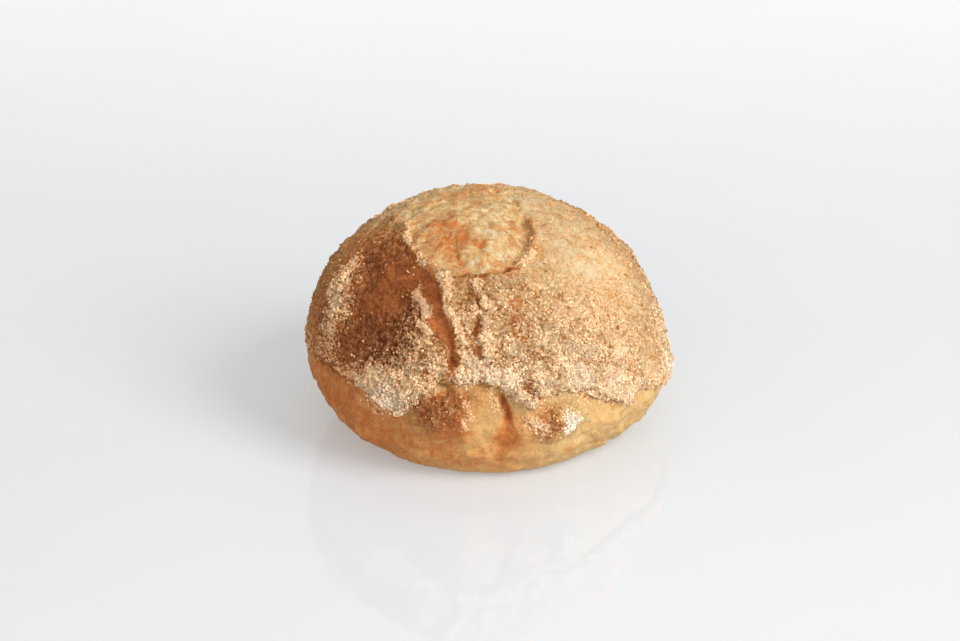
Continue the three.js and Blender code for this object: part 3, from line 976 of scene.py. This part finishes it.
def spread_points(nodes, source, mask, per_square_mm, seed):
    """Random points on the source, as dense as the mask says."""
    surface = nodes.add("GeometryNodeObjectInfo", {"Object": source}, transform_space="ORIGINAL")
    amount = nodes.add("GeometryNodeInputNamedAttribute", {"Name": mask}, data_type="FLOAT")
    density = nodes.times(amount.outputs["Attribute"], per_square_mm / MM**2)
    return nodes.add(
        "GeometryNodeDistributePointsOnFaces",
        {"Mesh": surface.outputs["Geometry"], "Density": density, "Seed": seed},
    )


def random_turn(nodes, points, tilt, seed):
    """Any turn about the surface's normal, after a random tilt of up to the given one."""
    turn = nodes.add("FunctionNodeRandomValue", {"Seed": seed}, data_type="FLOAT_VECTOR")
    turn.inputs["Min"].default_value = (-tilt, -tilt, -math.pi)
    turn.inputs["Max"].default_value = (tilt, tilt, math.pi)
    spin = nodes.add("FunctionNodeEulerToRotation", {"Euler": turn.outputs["Value"]})
    rotation = nodes.add(
        "FunctionNodeRotateRotation",
        {"Rotation": points.outputs["Rotation"], "Rotate By": spin.outputs["Rotation"]},
        rotation_space="LOCAL",
    )
    return rotation.outputs["Rotation"]


def scatter_tree(name, shapes, per_square_mm):
    """A node group that spreads turned copies of a kind of grain over the crust, where its mask says."""
    kind = GRAINS[name]
    tree = bpy.data.node_groups.new(name, "GeometryNodeTree")
    tree.interface.new_socket("Geometry", in_out="INPUT", socket_type="NodeSocketGeometry")
    tree.interface.new_socket("Geometry", in_out="OUTPUT", socket_type="NodeSocketGeometry")
    nodes = Nodes(tree)
    points = spread_points(nodes, bpy.data.objects["roll_crust"], kind["mask"], per_square_mm, kind["seed"])
    rotation = random_turn(nodes, points, kind["tilt"], kind["seed"] + 1)
    grains = nodes.add(
        "GeometryNodeCollectionInfo",
        {"Collection": shapes, "Separate Children": True, "Reset Children": True},
    )
    scale = nodes.add("FunctionNodeRandomValue", {"Seed": kind["seed"] + 2}, data_type="FLOAT")
    scale.inputs[2].default_value, scale.inputs[3].default_value = kind["scale"]
    offset = nodes.add("ShaderNodeVectorMath", {"Vector": points.outputs["Normal"]}, operation="SCALE")
    offset.inputs["Scale"].default_value = kind["lift"] * MM
    placed = nodes.add(
        "GeometryNodeSetPosition",
        {"Geometry": points.outputs["Points"], "Offset": offset.outputs["Vector"]},
    )
    copies = nodes.add(
        "GeometryNodeInstanceOnPoints",
        {
            "Points": placed.outputs["Geometry"], "Instance": grains.outputs["Instances"],
            "Pick Instance": True, "Rotation": rotation, "Scale": scale.outputs[1],
        },
    )
    tone = nodes.add("FunctionNodeRandomValue", {"Seed": kind["seed"] + 3}, data_type="FLOAT")
    toned = nodes.add(
        "GeometryNodeStoreNamedAttribute",
        {"Geometry": copies.outputs["Instances"], "Name": "tone", "Value": tone.outputs[1]},
        domain="INSTANCE",
    )
    real = nodes.add("GeometryNodeRealizeInstances", {"Geometry": toned.outputs["Geometry"]})
    output = nodes.add("NodeGroupOutput")
    tree.links.new(real.outputs["Geometry"], output.inputs["Geometry"])
    return tree


def scatter(name, material, per_square_mm):
    """One mesh of a kind of grain at true size, lying on the crust."""
    shapes = make_shapes(name, material)
    deselect_all()
    bpy.ops.mesh.primitive_plane_add(size=MM)
    piece = bpy.context.object
    piece.name = name
    piece.data.name = name
    modifier = piece.modifiers.new("scatter", "NODES")
    modifier.node_group = scatter_tree(name, shapes, per_square_mm)
    bpy.ops.object.modifier_apply(modifier="scatter")
    bpy.data.node_groups.remove(bpy.data.node_groups[name])
    remove_shapes(shapes)
    piece.data.calc_loop_triangles()
    triangles = len(piece.data.loop_triangles)
    print(name, "has", triangles, "triangles")
    if not 0 < triangles < MOST_TRIANGLES:
        raise RuntimeError(f"{name} has {triangles} triangles")
    return piece


def attach(piece):
    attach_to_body(piece, BODY)


def colour_property(name, description, default):
    """A colour that a user can change, as linear values."""
    return bpy.props.FloatVectorProperty(
        name=name, description=description, default=default, subtype="COLOR", size=3, min=0.0, max=1.0
    )


class RollColours(bpy.types.PropertyGroup):
    """Colours of the crust and of what lies on it, as linear values."""

    golden_crust: colour_property("Golden crust", "Lightly baked crust", (0.77, 0.63, 0.385))
    tan_crust: colour_property("Tan crust", "Crust baked to an orange tan", (0.64, 0.325, 0.11))
    brown_crust: colour_property("Brown crust", "Well baked crust", (0.55, 0.185, 0.05))
    dark_crust: colour_property("Dark crust", "The most baked crust", (0.27, 0.075, 0.02))
    pale_flank: colour_property("Pale flank", "The flank's least baked skin", (0.71, 0.535, 0.265))
    yellow_flank: colour_property("Yellow flank", "The flank's usual colour", (0.65, 0.43, 0.178))
    pale_patch: colour_property("Pale patch", "The top patch's least baked skin", (0.76, 0.62, 0.38))
    yellow_patch: colour_property("Yellow patch", "The top patch's usual colour", (0.64, 0.43, 0.19))
    flour_colour: colour_property("Flour", "Powdery flour caked on the crust", (0.97, 0.71, 0.45))
    white_flour: colour_property("White flour", "Flour that the oven left white", (0.97, 0.84, 0.66))
    toasted_flour: colour_property("Toasted flour", "Flour that the oven coloured", (0.92, 0.54, 0.27))
    scorched_flour: colour_property("Scorched flour", "The most toasted flour", (0.66, 0.31, 0.12))
    grain_light: colour_property("Light grains", "The lightest flour grains", (0.98, 0.77, 0.49))
    grain_shade: colour_property("Darker grains", "The darkest flour grains", (0.92, 0.51, 0.24))
    bran_light: colour_property("Light bran", "The lightest bran flakes", (0.5, 0.25, 0.09))
    bran_shade: colour_property("Darker bran", "The darkest bran flakes", (0.24, 0.1, 0.035))
    bran_floured: colour_property("Floured bran", "Bran flakes in white flour", (0.6, 0.35, 0.15))


class RollScatter(bpy.types.PropertyGroup):
    """How thickly the loose grains lie, and how the surface is roughened."""

    clumps: bpy.props.FloatProperty(
        name="Flour clumps", description="Clumps on each square mm of fully floured crust",
        default=5.0, min=0.0,
    )
    dust: bpy.props.FloatProperty(
        name="Flour dust", description="Fine grains on each square mm of fully floured crust",
        default=2.2, min=0.0,
    )
    bran: bpy.props.FloatProperty(
        name="Bran flakes", description="Flakes on each square mm of crust", default=0.02, min=0.0,
    )
    crumbs: bpy.props.FloatProperty(
        name="Crumbs", description="Toasted crumbs on each square mm of coarse crust", default=1.0, min=0.0,
    )
    crumble: bpy.props.FloatProperty(
        name="Crumble", description="Height of the coarse crust's roughness",
        default=0.8 * MM, min=0.0, subtype="DISTANCE",
    )
    raggedness: bpy.props.FloatProperty(
        name="Raggedness", description="How far the torn edges wander",
        default=2.2 * MM, min=0.0, subtype="DISTANCE",
    )


class OBJECT_OT_make_roll_crust(bpy.types.Operator):
    """Make the roll's crust from the solid, with its fine relief and its baked finish"""

    bl_idname = "object.make_roll_crust"
    bl_label = "Make the crust"

    def execute(self, context):
        settings = context.scene.roll_scatter
        roll = copy_solid()
        group_rows(roll)
        crease_edges(roll)
        make_active(roll)
        bpy.ops.object.shade_smooth()
        smooth = roll.modifiers.new("smooth", "SUBSURF")
        smooth.levels = 2
        smooth.render_levels = 2
        bpy.ops.object.modifier_apply(modifier="smooth")
        mark_surface(roll)
        rag = add_texture("rag", RAG_SIZE, 2, cloud_type="COLOR")
        displace(roll, "rag", rag, settings.raggedness / MM, "lips", "RGB_TO_XYZ")
        for name, size, detail, rise, group in RELIEF:
            displace(roll, name, add_texture(name, size, detail), rise, group)
        press_features(roll, settings.crumble / MM)
        roll.data.materials.clear()
        roll.data.materials.append(crust_material(context.scene.roll_colours, "baked_crust", False))
        attach(roll)
        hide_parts(NODE)
        return {"FINISHED"}


class OBJECT_OT_scatter_flour(bpy.types.Operator):
    """Scatter the flour, as clumps and as fine grains, where the crust is floured"""

    bl_idname = "object.scatter_flour"
    bl_label = "Scatter the flour"

    def execute(self, context):
        settings = context.scene.roll_scatter
        colours = context.scene.roll_colours
        material = grain_material(
            "flour_grain", colours.grain_light, colours.grain_shade, colours.white_flour,
            colours.scorched_flour,
        )
        attach(scatter("flour_clumps", material, settings.clumps))
        attach(scatter("flour_dust", material, settings.dust))
        return {"FINISHED"}


class OBJECT_OT_scatter_crumbs(bpy.types.Operator):
    """Scatter the toasted crumbs that coat the coarse crust"""

    bl_idname = "object.scatter_crumbs"
    bl_label = "Scatter the crumbs"

    def execute(self, context):
        settings = context.scene.roll_scatter
        material = crust_material(context.scene.roll_colours, "toasted_crumb", True)
        attach(scatter("toasted_crumbs", material, settings.crumbs))
        return {"FINISHED"}


class OBJECT_OT_scatter_bran(bpy.types.Operator):
    """Scatter the toasted bran flakes over the crust"""

    bl_idname = "object.scatter_bran"
    bl_label = "Scatter the bran"

    def execute(self, context):
        settings = context.scene.roll_scatter
        colours = context.scene.roll_colours
        material = grain_material(
            "bran_flake", colours.bran_light, colours.bran_shade, colours.bran_floured, colours.scorched_flour
        )
        attach(scatter("bran_flakes", material, settings.bran))
        return {"FINISHED"}


class OBJECT_OT_make_roll_stage(bpy.types.Operator):
    """Make the pale surface, the soft light and the camera"""

    bl_idname = "object.make_roll_stage"
    bl_label = "Make the stage"

    def execute(self, context):
        deselect_all()
        bpy.ops.mesh.primitive_plane_add(size=FLOOR_SIZE)
        floor = context.object
        floor.name = "pale_surface"
        floor.data.materials.append(stage_material())
        for name, place, size, power in LIGHTS:
            self.add_light(name, place, size, power)
        world = bpy.data.worlds.new("room")
        world.use_nodes = True
        background = world.node_tree.nodes["Background"]
        background.inputs["Color"].default_value = ROOM_COLOUR
        background.inputs["Strength"].default_value = ROOM_STRENGTH
        context.scene.world = world
        context.scene.view_settings.view_transform = "Standard"
        self.add_camera(context)
        return {"FINISHED"}

    def add_light(self, name, place, size, power):
        """A soft square light that faces the roll."""
        aim = (-Vector(place)).to_track_quat("-Z", "Y").to_euler()
        bpy.ops.object.light_add(type="AREA", location=place, rotation=aim)
        light = bpy.context.object
        light.name = name
        light.data.size = size
        light.data.energy = power

    def add_camera(self, context):
        """The camera at the photograph's viewing angle."""
        elevation = math.radians(CAMERA_ELEVATION)
        axis_x, axis_y = DOME_AXIS
        place = (
            axis_x * MM,
            axis_y * MM - CAMERA_DISTANCE * math.cos(elevation),
            CAMERA_DISTANCE * math.sin(elevation),
        )
        pitch = math.radians(90 - CAMERA_ELEVATION + CAMERA_TILT_UP)
        turn = Euler((pitch, 0, math.radians(CAMERA_TURN_LEFT)))
        bpy.ops.object.camera_add(location=place, rotation=turn)
        camera = context.object
        camera.data.lens = CAMERA_LENS
        camera.data.sensor_width = SENSOR_WIDTH
        context.scene.camera = camera


class VIEW3D_PT_bread_roll(bpy.types.Panel):
    """Lists the roll's pieces and its settings"""

    bl_idname = "VIEW3D_PT_bread_roll"
    bl_label = "Bread roll"
    bl_space_type = "VIEW_3D"
    bl_region_type = "UI"
    bl_category = "Bread roll"

    def draw(self, context):
        layout = self.layout
        for operator in STEPS:
            layout.operator(operator.bl_idname)
        for group in (context.scene.roll_colours, context.scene.roll_scatter):
            for name in group.__annotations__:
                layout.prop(group, name)


STEPS = (
    OBJECT_OT_make_roll_crust,
    OBJECT_OT_scatter_flour,
    OBJECT_OT_scatter_crumbs,
    OBJECT_OT_scatter_bran,
    OBJECT_OT_make_roll_stage,
)
CLASSES = (RollColours, RollScatter, *STEPS, VIEW3D_PT_bread_roll)


def register():
    for cls in CLASSES:
        bpy.utils.register_class(cls)
    bpy.types.Scene.roll_colours = bpy.props.PointerProperty(type=RollColours)
    bpy.types.Scene.roll_scatter = bpy.props.PointerProperty(type=RollScatter)


def unregister():
    del bpy.types.Scene.roll_scatter
    del bpy.types.Scene.roll_colours
    for cls in reversed(CLASSES):
        bpy.utils.unregister_class(cls)


def main():
    register()
    bpy.ops.object.make_roll_crust()
    bpy.ops.object.scatter_flour()
    bpy.ops.object.scatter_crumbs()
    bpy.ops.object.scatter_bran()
    bpy.ops.object.make_roll_stage()


if __name__ == "__main__":
    main()
